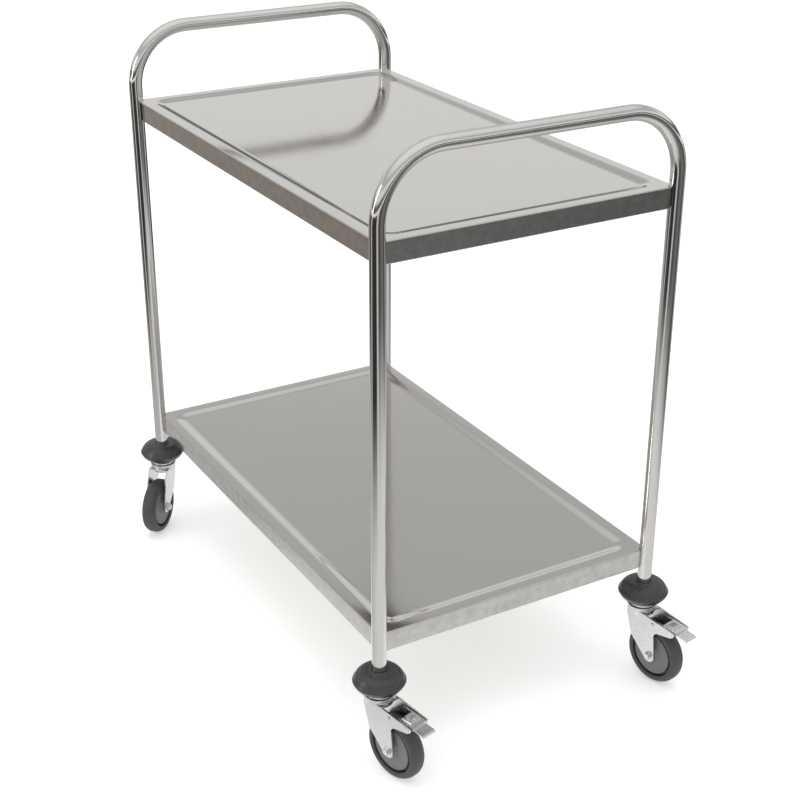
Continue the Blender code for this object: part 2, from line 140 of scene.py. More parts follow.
def add_node(tree, kind, settings=None, inputs=None):
    """Adds a node. An input is a value, or the socket of another node to link from."""
    node = tree.nodes.new(kind)
    for name, value in (settings or {}).items():
        setattr(node, name, value)
    for name, value in (inputs or {}).items():
        if isinstance(value, bpy.types.NodeSocket):
            tree.links.new(value, node.inputs[name])
        else:
            node.inputs[name].default_value = value
    return node


def ramp(tree, source, stops):
    """A colour ramp: stops are (position, level or linear RGB)."""
    node = add_node(tree, "ShaderNodeValToRGB", None, {"Fac": source})
    band = node.color_ramp
    for index, (position, level) in enumerate(stops):
        point = band.elements[index] if index < 2 else band.elements.new(position)
        point.position = position
        point.color = (level, level, level, 1) if isinstance(level, float) else (*level, 1)
    return node.outputs["Color"]


def new_material(name, constants):
    """A material with a Principled shader: (tree, shader, object coordinates)."""
    material = bpy.data.materials.new(name)
    material.use_nodes = True
    tree = material.node_tree
    shader = tree.nodes["Principled BSDF"]
    for socket, value in constants.items():
        shader.inputs[socket].default_value = value
    place = add_node(tree, "ShaderNodeTexCoord").outputs["Object"]
    return tree, shader, place


def spread(tree, source, low, high):
    """Maps a pattern's middle range to low .. high."""
    span = {"From Min": 0.3, "From Max": 0.7, "To Min": low, "To Max": high}
    return add_node(tree, "ShaderNodeMapRange", None, {"Value": source, **span}).outputs["Result"]


def tinted(tree, base, source, darker, lighter):
    """The base colour made darker and lighter along a pattern."""
    shade = spread(tree, source, darker, lighter)
    grey = add_node(tree, "ShaderNodeCombineColor", None, {"Red": shade, "Green": shade, "Blue": shade})
    mix = add_node(tree, "ShaderNodeMix", {"data_type": "RGBA", "blend_type": "MULTIPLY"})
    mix.inputs["Factor"].default_value = 1.0
    first, second = (s for s in mix.inputs if s.type == "RGBA")
    first.default_value = base
    tree.links.new(grey.outputs["Color"], second)
    return next(s for s in mix.outputs if s.type == "RGBA")


def eased(tree, source, low, high, interpolation="SMOOTHSTEP"):
    """Maps a value to 0 at low and 1 at high."""
    span = {"From Min": low, "From Max": high}
    settings = {"interpolation_type": interpolation}
    return add_node(tree, "ShaderNodeMapRange", settings, {"Value": source, **span}).outputs["Result"]


def noise(tree, place, size, detail=3.0, stretch=(1, 1, 1)):
    """Noise whose features are about size metres across, drawn out by stretch."""
    scale = [1 / (size * s) for s in stretch]
    mapped = add_node(tree, "ShaderNodeMapping", None, {"Vector": place, "Scale": scale})
    inputs = {"Vector": mapped.outputs["Vector"], "Scale": 1.0, "Detail": detail, "Roughness": 0.6}
    return add_node(tree, "ShaderNodeTexNoise", None, inputs).outputs["Fac"]


def bumped(tree, shader, height, depth):
    """Raises the surface along a pattern, by depth metres."""
    inputs = {"Height": height, "Distance": depth, "Strength": 1.0}
    bump = add_node(tree, "ShaderNodeBump", None, inputs)
    tree.links.new(bump.outputs["Normal"], shader.inputs["Normal"])


def polished_stainless_steel(base):
    """Drawn 304 tube, belt polished: a near mirror with faint draw lines along the tube."""
    tree, shader, place = new_material("polished stainless steel tube", {"Metallic": 1.0})
    lines = noise(tree, place, 0.9 * MM, 2.0, (1, 1, 90))
    cloud = noise(tree, place, 28 * MM, 3.0)
    tree.links.new(tinted(tree, base, cloud, 0.97, 1.0), shader.inputs["Base Color"])
    tree.links.new(spread(tree, cloud, 0.07, 0.12), shader.inputs["Roughness"])
    bumped(tree, shader, lines, 0.003 * MM)
    return shader.id_data


def satin_stainless_steel(base):
    """Cold rolled 2B sheet: soft reflections, a fine grain along the cart, and skirts darkened by painted
    shade in mottled patches.
    """
    tree, shader, place = new_material("satin stainless steel sheet", {"Metallic": 1.0})
    grain = noise(tree, place, 0.8 * MM, 2.0, (55, 1, 1))
    cloud = noise(tree, place, 95 * MM, 4.0, (1.6, 1, 1))
    mottle = noise(tree, place, 16 * MM, 5.0)
    upward = add_node(tree, "ShaderNodeNewGeometry").outputs["Normal"]
    upward = add_node(tree, "ShaderNodeSeparateXYZ", None, {"Vector": upward}).outputs["Z"]
    upward = add_node(tree, "ShaderNodeMath", {"operation": "ABSOLUTE"}, {0: upward}).outputs["Value"]
    # Painted shade: the mottled patches darken the skirts and fade out on the flat tops
    mottled_side_shade = add_node(tree, "ShaderNodeMix", None, {"Factor": upward, "A": mottle, "B": 0.7}).outputs["Result"]
    tree.links.new(tinted(tree, base, mottled_side_shade, 0.80, 1.0), shader.inputs["Base Color"])
    tree.links.new(spread(tree, cloud, 0.08, 0.12), shader.inputs["Roughness"])
    bumped(tree, shader, grain, 0.003 * MM)
    return shader.id_data


def bright_zinc_plate(base):
    """Pressed steel, barrel zinc plated: bright, with a mottled haze and fine pitting."""
    tree, shader, place = new_material("bright zinc plated steel", {"Metallic": 1.0})
    haze = noise(tree, place, 7 * MM, 4.0)
    pits = noise(tree, place, 1.1 * MM, 3.0)
    tree.links.new(tinted(tree, base, haze, 0.90, 1.0), shader.inputs["Base Color"])
    tree.links.new(spread(tree, haze, 0.16, 0.32), shader.inputs["Roughness"])
    bumped(tree, shader, pits, 0.004 * MM)
    return shader.id_data


def moulded_rubber(name, base, roughness, grit, depth):
    """Compression moulded rubber: dark, a soft sheen and a fine matt grain from the mould."""
    tree, shader, place = new_material(name, {"IOR": 1.52, "Specular IOR Level": 0.5})
    cloud = noise(tree, place, 14 * MM, 3.0)
    grain = noise(tree, place, grit, 2.0)
    tree.links.new(tinted(tree, base, cloud, 0.95, 1.03), shader.inputs["Base Color"])
    tree.links.new(spread(tree, cloud, roughness - 0.05, roughness + 0.07), shader.inputs["Roughness"])
    bumped(tree, shader, grain, depth)
    return shader.id_data


def bumper_rubber(base):
    """Thermoplastic rubber bumper: semi-gloss, with a smooth moulded skin."""
    return moulded_rubber("semi-gloss bumper rubber", base, 0.27, 1.2 * MM, 0.003 * MM)


def tyre_rubber(base):
    """Non-marking tyre rubber: matt, scuffed a little by the floor."""
    return moulded_rubber("matt tyre rubber", base, 0.52, 0.9 * MM, 0.030 * MM)


def moulded_polypropylene(base):
    """Injection moulded polypropylene: waxy and even, with a fine spark-eroded texture."""
    tree, shader, place = new_material("moulded grey polypropylene", {"IOR": 1.49})
    cloud = noise(tree, place, 18 * MM, 2.0)
    texture = noise(tree, place, 0.8 * MM, 2.0)
    tree.links.new(tinted(tree, base, cloud, 0.94, 1.04), shader.inputs["Base Color"])
    tree.links.new(spread(tree, texture, 0.42, 0.52), shader.inputs["Roughness"])
    bumped(tree, shader, texture, 0.015 * MM)
    return shader.id_data


def black_nylon(base):
    """Moulded nylon 66: almost black, dull, with faint flow marks."""
    tree, shader, place = new_material("black nylon", {"IOR": 1.53})
    flow = noise(tree, place, 6 * MM, 3.0, (1, 1, 3))
    tree.links.new(tinted(tree, base, flow, 0.8, 1.15), shader.inputs["Base Color"])
    tree.links.new(spread(tree, flow, 0.40, 0.55), shader.inputs["Roughness"])
    bumped(tree, shader, flow, 0.012 * MM)
    return shader.id_data


def seamless_paper(base):
    """Matt white studio paper, lit from below as well, so that shadows stay faint."""
    constants = {"Roughness": 0.9, "IOR": 1.4, "Emission Color": base, "Emission Strength": 0.42}
    tree, shader, place = new_material("seamless studio paper", constants)
    fibre = noise(tree, place, 3 * MM, 2.0)
    tree.links.new(tinted(tree, base, fibre, 0.995, 1.0), shader.inputs["Base Color"])
    return shader.id_data


# The slot of the record, and what makes its material, by the name of its colour
FINISHES = {
    "tube": ("polished_stainless_tube", polished_stainless_steel),
    "sheet": ("satin_stainless_sheet", satin_stainless_steel),
    "zinc": ("zinc_plated_steel", bright_zinc_plate),
    "bumper": ("grey_bumper_rubber", bumper_rubber),
    "tyre": ("grey_tyre_rubber", tyre_rubber),
    "wheel": ("grey_wheel_plastic", moulded_polypropylene),
    "nylon": ("black_nylon", black_nylon),
    "floor": (None, seamless_paper),
}
MADE = {}


def material_of(finish):
    """The material of a finish, made on its first use."""
    if finish not in MADE:
        base = getattr(bpy.context.scene.cart_colours, finish)
        tree = FINISHES[finish][1](tuple(base))
        MADE[finish] = next(m for m in bpy.data.materials if m.node_tree == tree)
    return MADE[finish]


# ---------------------------------------------------------------- mesh tools


def arc(centre, radius, start, end, steps):
    """Points on an arc, angles in degrees."""
    angles = [math.radians(start + (end - start) * i / steps) for i in range(steps + 1)]
    return [(centre[0] + radius * math.cos(a), centre[1] + radius * math.sin(a)) for a in angles]


def arc_through(start, end, crown, steps):
    """Points of a shallow curve that stands out by crown between its ends."""
    first, last = Vector(start), Vector(end)
    along = last - first
    out = Vector((-along.y, along.x)).normalized()
    shares = [i / steps for i in range(steps + 1)]
    return [tuple(first + along * s + out * 4 * crown * s * (1 - s)) for s in shares]


def revolved(profile, sides=48, rounds=None, segments=3):
    """A solid turned about Z from (radius, height) points. rounds gives the radius that rounds a point."""
    bm = bmesh.new()
    points = [bm.verts.new((r, 0, z)) for r, z in profile]
    is_ring = all(r > 0 for r, _ in profile)
    following = points[1:] + points[:1] if is_ring else points[1:]
    edges = [bm.edges.new(pair) for pair in zip(points, following)]
    bmesh.ops.spin(
        bm,
        geom=points + edges,
        cent=(0, 0, 0),
        axis=UP,
        angle=2 * math.pi,
        steps=sides,
        use_merge=True,
    )
    bmesh.ops.remove_doubles(bm, verts=bm.verts, dist=1e-6)
    bmesh.ops.recalc_face_normals(bm, faces=bm.faces)
    for index, radius in (rounds or {}).items():
        r, z = profile[index]
        round_edges(bm, lambda v: abs(v.co.xy.length - r) < 1e-6 and abs(v.co.z - z) < 1e-6, radius, segments)
    return bm


def rod(radius, start, end, sides, rounds=None):
    """A solid rod along +Z. Its outer corners are the points 1 and 2 of rounds."""
    return revolved([(0, start), (radius, start), (radius, end), (0, end)], sides, rounds)


def ring(inner, outer, start, end, sides, rounds=None):
    """A flat ring round +Z. Its outer corners are the points 1 and 2 of rounds."""
    return revolved([(inner, start), (outer, start), (outer, end), (inner, end)], sides, rounds)


def round_edges(bm, chosen, radius, segments=3):
    """Rounds the edges whose two ends are both chosen."""
    edges = [e for e in bm.edges if all(chosen(v) for v in e.verts)]
    bmesh.ops.bevel(
        bm,
        geom=edges,
        offset=radius,
        offset_type="OFFSET",
        affect="EDGES",
        segments=segments,
        profile=0.5,
        material=-1,
        clamp_overlap=True,
    )


def prism(outline, half, along="Y", low=None):
    """An outline extruded from low, or -half, to half: (x, z) points go along Y, (y, z) points along X."""
    bm = bmesh.new()
    start = -half if low is None else low
    if along == "Y":
        points = [bm.verts.new((a, start, b)) for a, b in outline]
        step = (0, half - start, 0)
    else:
        points = [bm.verts.new((start, a, b)) for a, b in outline]
        step = (half - start, 0, 0)
    made = bmesh.ops.extrude_face_region(bm, geom=[bm.faces.new(points)], use_keep_orig=True)
    verts = [g for g in made["geom"] if isinstance(g, bmesh.types.BMVert)]
    bmesh.ops.translate(bm, verts=verts, vec=step)
    bmesh.ops.recalc_face_normals(bm, faces=bm.faces)
    return bm


def block(x_low, x_high, z_low, z_high, half):
    """A rectangular solid, centred across."""
    return prism([(x_low, z_low), (x_high, z_low), (x_high, z_high), (x_low, z_high)], half)


def moved(bm, matrix):
    """Moves a whole mesh, and returns it."""
    bmesh.ops.transform(bm, matrix=matrix, verts=bm.verts)
    return bm


def joined(first, *others):
    """Separate closed shells in one mesh."""
    for other in others:
        mesh = bpy.data.meshes.new("shell")
        other.to_mesh(mesh)
        other.free()
        first.from_mesh(mesh)
        bpy.data.meshes.remove(mesh)
    return first


def combined(first, second, operation):
    """The Boolean of two closed meshes as a new mesh. Both are used up."""
    shapes = []
    for bm in (first, second):
        mesh = bpy.data.meshes.new("shape")
        bm.to_mesh(mesh)
        bm.free()
        shapes.append(bpy.data.objects.new("shape", mesh))
        bpy.context.scene.collection.objects.link(shapes[-1])
    modifier = shapes[0].modifiers.new("Combine", "BOOLEAN")
    modifier.operation = operation
    modifier.object = shapes[1]
    result = bmesh.new()
    result.from_object(shapes[0], bpy.context.evaluated_depsgraph_get())
    for shape in shapes:
        mesh = shape.data
        bpy.data.objects.remove(shape)
        bpy.data.meshes.remove(mesh)
    bmesh.ops.remove_doubles(result, verts=result.verts, dist=2e-6)
    bmesh.ops.dissolve_degenerate(result, edges=result.edges, dist=2e-6)
    return result


def piece(name, bm, finish, body, nodes, matrix=None):
    """Makes a finished piece: its place is in its mesh, it rides on a body and stands for CAD nodes."""
    if matrix is not None:
        moved(bm, matrix)
    mesh = bpy.data.meshes.new(name)
    bm.to_mesh(mesh)
    bm.free()
    mesh.shade_smooth()
    mesh.set_sharp_from_angle(angle=SHARP)
    mesh.materials.append(material_of(finish))
    obj = bpy.data.objects.new(name, mesh)
    bpy.context.scene.collection.objects.link(obj)
    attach(obj, body)
    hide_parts(*nodes)
    return obj


def flatten_shading(obj):
    """Keeps the shading of wide flat faces flat up to their rounded edges."""
    modifier = obj.modifiers.new("Flat faces", "WEIGHTED_NORMAL")
    modifier.keep_sharp = True


def press_edges(obj, width, segments=2):
    """The small rounding of sheared and pressed steel edges."""
    modifier = obj.modifiers.new("Pressed edges", "BEVEL")
    modifier.width = width
    modifier.segments = segments
    modifier.limit_method = "ANGLE"
    modifier.angle_limit = SHARP
    flatten_shading(obj)


def leg_of(corner):
    """The place of a leg's centre on the floor."""
    x, y, _ = JOINTS[f"{corner}_swivel"]["pos_m"]
    return Matrix.Translation((x, y, 0))


def castor_of(corner):
    """A castor's own place: its swivel at the origin, its wheel trailing along +X."""
    across = Vector(JOINTS[f"{corner}_roll"]["axis"])
    return leg_of(corner) @ Matrix.Rotation(math.atan2(-across.x, across.y), 4, "Z")


def hub_of(corner):
    """A wheel's place: its middle at the origin, and +Z along the castor's -Y."""
    x, y, z = JOINTS[f"{corner}_roll"]["pos_m"]
    return Matrix.Translation((x, y, z)) @ castor_of(corner).to_3x3().to_4x4() @ ACROSS


def trail():
    """How far a wheel's axle trails behind its swivel, and its height."""
    swivel, roll = (Vector(JOINTS[f"{CORNERS[0]}_{kind}"]["pos_m"]) for kind in ("swivel", "roll"))
    return (swivel.xy - roll.xy).length, roll.z


# ---------------------------------------------------------------- tube frames


def extruded(bm, edges, step):
    """Extrudes a ring of edges by a step, and returns the new ring."""
    made = bmesh.ops.extrude_edge_only(bm, edges=edges)["geom"]
    bmesh.ops.translate(bm, verts=[g for g in made if isinstance(g, bmesh.types.BMVert)], vec=step)
    return [g for g in made if isinstance(g, bmesh.types.BMEdge)]


def bent(bm, edges, centre, angle, steps):
    """Sweeps a ring of edges round a bend about an axis along X, and returns the last ring."""
    ring = list({v for e in edges for v in e.verts}) + list(edges)
    made = bmesh.ops.spin(bm, geom=ring, cent=centre, axis=(1, 0, 0), angle=angle, steps=steps)
    return [g for g in made["geom_last"] if isinstance(g, bmesh.types.BMEdge)]


def bent_tube(low, high, bend):
    """One frame's skin, from foot to foot: up a leg, over the handle and down the other leg."""
    bm = bmesh.new()
    middle = (low + high) / 2
    radius = (high.x - low.x) / 2
    left, right = low.y + radius, high.y - radius
    shoulder = high.z - radius - bend
    foot = Matrix.Translation((middle.x, left, low.z))
    bmesh.ops.create_circle(bm, cap_ends=False, radius=radius, segments=48, matrix=foot)
    ring = extruded(bm, bm.edges[:], (0, 0, shoulder - low.z))
    ring = bent(bm, ring, (middle.x, left + bend, shoulder), -math.pi / 2, 28)
    ring = extruded(bm, ring, (0, right - left - 2 * bend, 0))
    ring = bent(bm, ring, (middle.x, right - bend, shoulder), -math.pi / 2, 28)
    extruded(bm, ring, (0, 0, low.z - shoulder))
    bmesh.ops.remove_doubles(bm, verts=bm.verts, dist=1e-6)
    bmesh.ops.recalc_face_normals(bm, faces=bm.faces)
    return bm


class CART_OT_tube_frames(bpy.types.Operator):
    """Builds the two bent tube frames"""

    bl_idname = "cart.tube_frames"
    bl_label = "Tube Frames"

    def execute(self, context):
        sizes = context.scene.cart_sizes
        for end in ENDS:
            node = f"{end}_handle_frame"
            bm = bent_tube(*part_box(node), sizes.handle_bend)
            obj = piece(f"{end}_tube", bm, "tube", "cart", [node])
            wall = obj.modifiers.new("Wall", "SOLIDIFY")
            wall.thickness = sizes.tube_wall
            wall.offset = -1
            flatten_shading(obj)
        return {"FINISHED"}


# ---------------------------------------------------------------- shelves


def shelf_loop(bm, low, high, inset, height, notch=None, corner=None, steps=8):
    """The vertices of a shelf's plan, moved in by inset: notched round the legs, or with round corners."""
    before = set(bm.verts)
    legs = [(low.x, low.y), (high.x, low.y), (high.x, high.y), (low.x, high.y)]
    for quarter, leg in enumerate(legs):
        turn = Matrix.Rotation(math.radians(90 * quarter), 3, "Z")
        if corner is None:
            radius = notch + inset
            skew = math.degrees(math.asin(inset / radius))
            middle, start, sweep = Vector((0, 0, 0)), 90 - skew, 2 * skew - 90
        else:
            radius = corner
            middle, start, sweep = Vector((inset + corner, inset + corner, 0)), 180, 90
        centre = Vector((*leg, height)) + turn @ middle
        begin = math.radians(start + 90 * quarter)
        vertex = bm.verts.new(centre + radius * Vector((math.cos(begin), math.sin(begin), 0)))
        bmesh.ops.spin(bm, geom=[vertex], cent=centre, axis=UP, angle=math.radians(sweep), steps=steps)
    return [v for v in bm.verts if v not in before]


def shelf_skin(low, high, sizes, notch):
    """A shelf's outer face: return flange, skirt, folded edge, flat rim, slope and recess."""
    bm = bmesh.new()
    fold, border = sizes.fold, sizes.rim + sizes.slope
    loops = [(sizes.flange, low.z, None)]
    loops += [(fold - a, low.z + fold - b, None) for a, b in arc((0, 0), fold, 90, 0, 4)]
    loops += [(fold - a, high.z - fold + b, None) for a, b in arc((0, 0), fold, 0, 90, 4)]
    for step in range(SLOPE_STEPS + 1):
        share = step / SLOPE_STEPS
        fall = sizes.recess * share * share * (3 - 2 * share)
        corner = sizes.recess_corner + sizes.slope * (1 - share)
        loops.append((sizes.rim + sizes.slope * share, high.z - fall, corner))
    previous = None
    for inset, height, corner in loops:
        loop = shelf_loop(bm, low, high, inset, height, notch, corner)
        for index in range(len(loop) if previous else 0):
            bm.faces.new((previous[index - 1], previous[index], loop[index], loop[index - 1]))
        previous = loop
    # A narrow border in the floor keeps the slope's shading from running into it
    floor = bm.faces.new(previous)
    bmesh.ops.inset_region(bm, faces=[floor], thickness=border / 4, depth=0, use_even_offset=True)
    bmesh.ops.recalc_face_normals(bm, faces=bm.faces)
    return bm


class CART_OT_shelves(bpy.types.Operator):
    """Builds the two pressed shelves"""

    bl_idname = "cart.shelves"
    bl_label = "Shelves"

    def execute(self, context):
        sizes = context.scene.cart_sizes
        tube_low, tube_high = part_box(f"{ENDS[0]}_handle_frame")
        notch = (tube_high.x - tube_low.x) / 2 + sizes.notch_gap
        for level in LEVELS:
            node = f"{level}_shelf"
            bm = shelf_skin(*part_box(node), sizes, notch)
            up = next(f for f in bm.faces if len(f.verts) > 8)
            if up.normal.z < 0:
                bmesh.ops.reverse_faces(bm, faces=bm.faces)
            obj = piece(f"{level}_tray", bm, "sheet", "cart", [node])
            wall = obj.modifiers.new("Sheet", "SOLIDIFY")
            wall.thickness = sizes.sheet
            wall.offset = -1
            flatten_shading(obj)
        return {"FINISHED"}


class CART_OT_shelf_bolts(bpy.types.Operator):
    """Builds the hexagon bolts that hold the shelves to the legs"""

    bl_idname = "cart.shelf_bolts"
    bl_label = "Shelf Bolts"

    def execute(self, context):
        for level in LEVELS:
            for corner in CORNERS:
                node = f"{level}_shelf_bolt_{corner}"
                low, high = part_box(node)
                middle = (low + high) / 2
                leg = leg_of(corner).to_translation()
                inward = Vector((middle.x - leg.x, middle.y - leg.y, 0)).normalized()
                seat = Matrix.Translation((leg.x, leg.y, middle.z))
                turn = UP.rotation_difference(inward).to_matrix().to_4x4()
                piece(f"{level}_bolt_{corner}", shelf_bolt(), "zinc", "cart", [node], seat @ turn)
        return {"FINISHED"}


def shelf_bolt():
    """An M6 hexagon bolt with its washer, along +Z from the leg's centre."""
    shank = rod(0.0029, 0.0062, 0.0142, 20, {1: 0.0004})
    washer = ring(0.0030, 0.0058, 0.0129, 0.0139, 32)
    head = rod(0.0050, 0.0139, 0.0168, 6, {2: 0.0006})
    return joined(shank, washer, head)


# ---------------------------------------------------------------- castors

# A castor's own sizes, about its swivel's axis and the floor
CROWN_FRONT = -0.0170  # x of the fork's front
CHEEK = 0.0185  # half the fork's width
PEDAL_PIN = (0.0390, 0.1100)  # x and z of the pin that the pedal turns on
PEDAL_FRONT = 0.0556  # x where the pedal's plate begins
SHOE_ENDS = (0.0500, 0.0640)  # x of the brake shoe's ends
BEYOND = 0.1000  # how far a cutter reaches, past everything on a castor
ABOVE, BELOW = 0.1400, 0.0200  # the top and foot of a cutter


class CART_OT_bumpers(bpy.types.Operator):
    """Builds the round bumpers between legs and castors"""

    bl_idname = "cart.bumpers"
    bl_label = "Bumpers"

    def execute(self, context):
        for corner in CORNERS:
            node = f"{corner}_bumper"
            low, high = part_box(node)
            bm = bumper((high.x - low.x) / 2, low.z, high.z)
            piece(f"{corner}_buffer", bm, "bumper", "cart", [node], leg_of(corner))
        return {"FINISHED"}


def bumper(radius, under, top):
    """A lens-shaped buffer: a low collar, a shallow dome, a narrow rounded rim and a bowl under it."""
    bore, socket, seat = 0.0068, 0.0115, 0.0120  # the stem's bore, the leg's socket and its floor's height
    collar, edge = 0.0140, 0.0008  # the collar round the leg, and its small chamfer
    neck, rim = 0.0250, 0.0036  # the bowl's foot, and the rim's rounding
    widest = top - 0.0182
    shoulder, reach = 0.75 * rim, radius - 0.0014  # where the dome and the bowl meet the rim
    dome = arc_through((collar + 0.0012, top - 0.0014), (reach, widest + shoulder), 0.0050, 14)
    bowl = arc_through((reach, widest - shoulder), (neck + 0.0010, under + 0.0022), 0.0026, 8)
    profile = [(bore, under), (bore, under + seat), (socket, under + seat), (socket, top)]
    profile += [(collar - edge, top), (collar, top - edge)]
    profile += [*dome, *arc((radius - rim, widest), rim, 40, -40, 6), *bowl, (neck, under)]
    return revolved(profile, 64)


class CART_OT_swivel_caps(bpy.types.Operator):
    """Builds the two-step caps over the castors' ball races"""

    bl_idname = "cart.swivel_caps"
    bl_label = "Swivel Caps"

    def execute(self, context):
        for corner in CORNERS:
            node = f"{corner}_swivel_cap"
            low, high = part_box(node)
            bm = race_cap((high.x - low.x) / 2, low.z, high.z)
            piece(f"{corner}_race_cap", bm, "zinc", "cart", [node], leg_of(corner))
        return {"FINISHED"}


def race_cap(radius, under, top):
    """A pressed cap with a wide step, a narrow step and a boss, bored for the stem."""
    bore, step, boss = 0.0066, 0.0200, 0.0150
    wide = [(bore, under), (radius, under), (radius, under + 0.0036)]
    narrow = [(step, under + 0.0040), (step, under + 0.0072), (boss, under + 0.0080)]
    profile = [*wide, *narrow, (boss - 0.0010, top), (bore, top)]
    return revolved(profile, 64, {1: 0.0008, 2: 0.0012, 4: 0.0012})


def fork_outline(braked):
    """A fork's side view as (x, z) points, with an arm over the wheel where it carries a brake."""
    reach, axle = trail()
    crown = 0.1190
    front = [(CROWN_FRONT, crown), (CROWN_FRONT, 0.1080), (-0.0120, 0.0900), (-0.0060, 0.0760)]
    eye = arc((reach, axle), 0.0110, 212, 352, 14)
    if braked:
        crotch = arc((0.0530, 0.0880), 0.0100, 172, 100, 5)
        rear = [*crotch, (0.0760, 0.1028), (0.0812, 0.1062), (0.0818, 0.1122)]
    else:
        rear = [(0.0392, 0.0820), (0.0350, 0.0980), (0.0310, 0.1090)]
    return [*front, *eye, *rear, (0.0240, crown)]


def fork(braked, steel):
    """A pressed fork: a rounded crown with its ball race, an arched front, two cheeks and brake arms."""
    reach, axle = trail()
    inner = CHEEK - steel
    body = prism(fork_outline(braked), CHEEK)
    round_edges(body, lambda v: v.co.x < 0, 0.0055, 5)
    inside = block(CROWN_FRONT + steel, BEYOND, BELOW, 0.1165, inner)
    round_edges(inside, lambda v: v.co.x < 0, 0.0030, 3)
    body = combined(body, inside, "DIFFERENCE")
    span = 0.0138  # half the width of the opening in the front
    arch = [(-span, BELOW), (span, BELOW), *arc((0, 0.0968), span, 0, 180, 16)]
    body = combined(body, prism(arch, 0, "X", -BEYOND), "DIFFERENCE")
    race = rod(0.0210, 0.1110, 0.1215, 48, {1: 0.0015, 2: 0.0010})
    body = combined(body, race, "UNION")
    foot, bore, floor = 0.0095, 0.0065, 0.1160  # the pocket for the stem's foot, and the stem's bore above it
    pocket = [(0, BELOW), (foot, BELOW), (foot, floor), (bore, floor), (bore, ABOVE), (0, ABOVE)]
    body = combined(body, revolved(pocket, 32), "DIFFERENCE")
    body = bored_across(body, (reach, axle), 0.0043, 24)
    if braked:
        body = combined(body, block(0.0216, BEYOND, BELOW, ABOVE, inner), "DIFFERENCE")
        body = bored_across(body, PEDAL_PIN, 0.0025, 20)
    return body


def bored_across(body, centre, radius, sides):
    """Cuts a hole along Y through both cheeks, at an (x, z) centre."""
    x, z = centre
    seat = Matrix.Translation((x, 0, z)) @ ACROSS
    return combined(body, moved(rod(radius, -BEYOND, BEYOND, sides), seat), "DIFFERENCE")


class CART_OT_forks(bpy.types.Operator):
    """Builds the pressed steel forks that swivel"""

    bl_idname = "cart.forks"
    bl_label = "Forks"

    def execute(self, context):
        sizes = context.scene.cart_sizes
        for corner in CORNERS:
            bm = fork(corner in BRAKED, sizes.steel)
            body = f"{corner}_castor"
            obj = piece(f"{corner}_yoke", bm, "zinc", body, [f"{corner}_fork"], castor_of(corner))
            press_edges(obj, sizes.edge)
        return {"FINISHED"}


class CART_OT_axles(bpy.types.Operator):
    """Builds the axle bolts and their nuts"""

    bl_idname = "cart.axles"
    bl_label = "Axles"

    def execute(self, context):
        for corner in CORNERS:
            body = f"{corner}_castor"
            place = hub_of(corner)
            piece(f"{corner}_axle", axle_bolt(), "zinc", body, [f"{corner}_axle_bolt"], place)
            piece(f"{corner}_locknut", axle_nut(), "zinc", body, [f"{corner}_axle_nut"], place)
        return {"FINISHED"}


def axle_bolt():
    """The axle: a shank with a rounded end, a flange against the cheek and a hexagon head."""
    shank = rod(0.0040, -0.0265, 0.0195, 32, {1: 0.0008})
    flange = ring(0.0041, 0.0068, 0.0188, 0.0200, 40, {2: 0.0004})
    head = rod(0.0058, 0.0200, 0.0238, 6, {2: 0.0007})
    return joined(shank, flange, head)


def axle_nut():
    """The locking nut: a hexagon with a round collar."""
    hexagon = ring(0.0044, 0.0075, -0.0228, -0.0188, 6, {1: 0.0007})
    flared = [(0.0044, -0.0250), (0.0060, -0.0250), (0.0062, -0.0229), (0.0044, -0.0229)]
    collar = revolved(flared, 40, {1: 0.0006})
    return joined(hexagon, collar)


def both_faces(half):
    """A closed wheel profile from the points on one face, hub to rim."""
    return [(r, -w) for r, w in half] + [(r, w) for r, w in reversed(half)]


class CART_OT_wheels(bpy.types.Operator):
    """Builds the wheel centres and their tyres"""

    bl_idname = "cart.wheels"
    bl_label = "Wheels"

    def execute(self, context):
        for corner in CORNERS:
            body = f"{corner}_wheel_set"
            place = hub_of(corner)
            piece(f"{corner}_disc", wheel_centre(), "wheel", body, [f"{corner}_wheel"], place)
            piece(f"{corner}_tread", tyre(), "tyre", body, [f"{corner}_tyre"], place)
        return {"FINISHED"}


def wheel_centre():
    """The wheel centre: a hub boss, a shallow dished disc and a rim in a deep groove."""
    half = [(0.0065, 0.0148), (0.0118, 0.0148), (0.0138, 0.0108), (0.0320, 0.0102), (0.0336, 0.0110)]
    half += [(0.0344, 0.0102), (0.0344, 0.0015), (0.0382, 0.0015)]
    profile = both_faces(half)
    last = len(profile) - 1
    rounds = {}
    for index, radius in enumerate((0.0008, 0.0015, 0.0008, 0.0005, 0.0004), start=1):
        rounds[index] = rounds[last - index] = radius
    return revolved(profile, 72, rounds)


def tyre():
    """The tyre: a thin lip at the groove, a side wall and a rounded tread."""
    profile = both_faces([(0.0385, 0.0112), (0.0400, 0.0125), (0.0452, 0.0130), (0.0500, 0.0062)])
    last = len(profile) - 1
    rounds = {1: 0.0008, last - 1: 0.0008, 2: 0.0022, last - 2: 0.0022, 3: 0.0030, last - 3: 0.0030}
    return revolved(profile, 96, rounds, 5)


class CART_OT_brakes(bpy.types.Operator):
    """Builds the brake pedals and their shoes"""

    bl_idname = "cart.brakes"
    bl_label = "Brakes"

    def execute(self, context):
        sizes = context.scene.cart_sizes
        for corner in BRAKED:
            body = f"{corner}_brake"
            place = castor_of(corner)
            obj = piece(f"{corner}_pedal", pedal(), "zinc", body, [f"{corner}_brake_pedal"], place)
            press_edges(obj, sizes.edge)
            obj = piece(f"{corner}_shoe", brake_shoe(), "nylon", body, [f"{corner}_brake_shoe"], place)
            press_edges(obj, sizes.edge)
        return {"FINISHED"}


